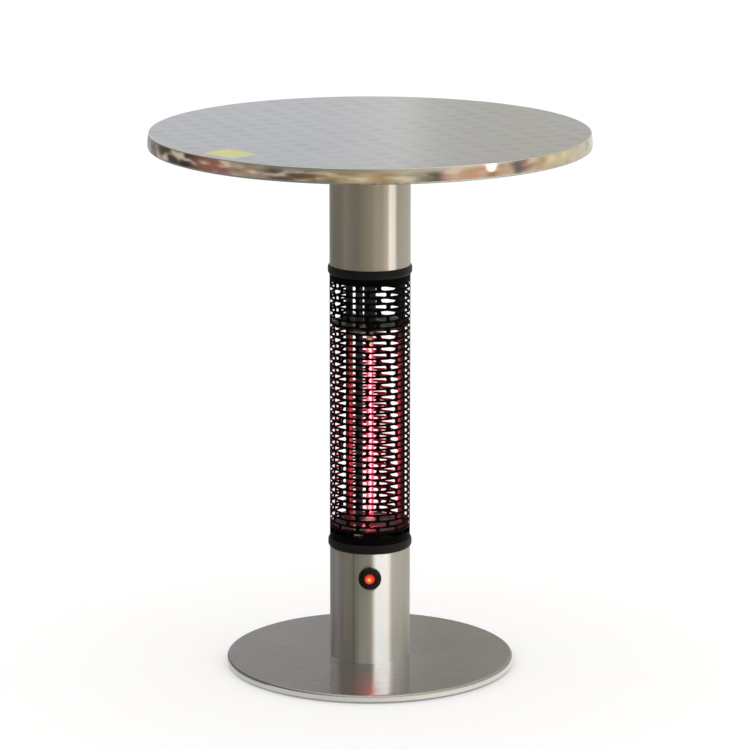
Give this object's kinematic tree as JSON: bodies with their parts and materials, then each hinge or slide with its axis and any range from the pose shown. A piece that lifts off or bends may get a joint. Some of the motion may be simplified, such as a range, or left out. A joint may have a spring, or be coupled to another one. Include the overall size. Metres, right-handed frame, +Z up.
{
  "type": "outdoor heater table",
  "caption": "Round bistro table with a steel top on a column that holds an infrared lamp behind a perforated grille, a lit push switch and a flat round base.",
  "frame": {"origin": "on the floor under the column's axis, at the centre of the table top's outline", "axes": "+Z up along the column; the push switch faces -Y and the cable gland faces +Y"},
  "size_m": [0.5999, 0.6, 0.7453],
  "materials": {
    "patterned_steel": "engine-turned stainless sheet with a mirror-polished rim",
    "brushed_steel": "stainless tube with a fine grain running round it",
    "satin_steel": "stainless sheet, satin",
    "polished_steel": "polished sheet",
    "zinc_steel": "bright zinc plate",
    "black_steel": "black powder coat",
    "black_enamel": "heat-resistant black enamel, low sheen",
    "black_plastic": "moulded, satin",
    "gloss_black": "moulded, glossy",
    "black_nylon": "moulded nylon",
    "white_nylon": "moulded nylon",
    "core_board": "raw fibreboard",
    "label_film": "blank self-adhesive label",
    "black_rubber": "moulded rubber",
    "quartz": "clear quartz",
    "glowing_wire": "hot resistance wire",
    "nickel_wire": "drawn",
    "white_ceramic": "unglazed steatite",
    "brass": "stamped",
    "red_lens": "translucent red",
    "spring_steel": "drawn wire",
    "glowing_glass": "neon lamp, lit",
    "silicone_sleeve": "silicone insulation"
  },
  "bodies": {
    "frame": {"table_top_skin": "patterned_steel", "table_core": "core_board", "blank_label": "label_film", "top_flange": "black_steel", "table_screws": "zinc_steel", "upper_tube": "brushed_steel", "upper_ring": "black_plastic", "grille": "black_enamel", "lower_ring": "black_plastic", "lower_tube": "brushed_steel", "base_flange": "zinc_steel", "base_cover": "satin_steel", "base_weight": "black_steel", "base_bolts": "zinc_steel", "base_feet": "black_rubber", "foot_screws": "zinc_steel", "tie_rods": "black_steel", "rod_nuts": "zinc_steel", "upper_deck": "polished_steel", "lower_deck": "polished_steel", "heat_shield": "polished_steel", "quartz_tube": "quartz", "filament": "glowing_wire", "filament_leads": "nickel_wire", "lamp_end_caps": "white_ceramic", "upper_lamp_holder": "black_steel", "lower_lamp_holder": "black_steel", "holder_screws": "zinc_steel", "thermal_cutout": "white_ceramic", "cutout_tabs": "brass", "switch_housing": "gloss_black", "switch_nut": "black_plastic", "switch_block": "black_plastic", "switch_blades": "brass", "switch_spring": "spring_steel", "indicator_lamp": "glowing_glass", "gland_washer": "black_rubber", "gland_body": "black_nylon", "gland_lock_nut": "black_nylon", "gland_cap": "black_nylon", "gland_seal": "black_rubber", "chassis_plate": "zinc_steel", "chassis_screws": "zinc_steel", "tilt_housing": "black_plastic", "tilt_cover": "black_plastic", "tilt_pin": "spring_steel", "tilt_microswitch": "black_nylon", "m3_screws": "zinc_steel", "terminal_block": "white_nylon", "terminal_screws": "brass", "lamp_return_lead": "silicone_sleeve", "lamp_feed_lead": "silicone_sleeve", "switch_feed_lead": "silicone_sleeve", "switch_return_lead": "silicone_sleeve"},
    "button": {"switch_button": "red_lens"},
    "pendulum": {"tilt_pendulum": "brass"}
  },
  "joints": [
    {"name": "button_press", "type": "slide", "parent": "frame", "child": "button", "axis": [0, 1, 0], "range_m": [0, 0.0025], "stiffness_N_per_m": 1200, "springref_m": -0.001, "deforming": ["switch_spring"]},
    {"name": "tilt_swing", "type": "hinge", "parent": "frame", "child": "pendulum", "pos_m": [0, -0.003, 0.063], "axis": [0, 1, 0], "range_deg": [-28, 28]}
  ]
}
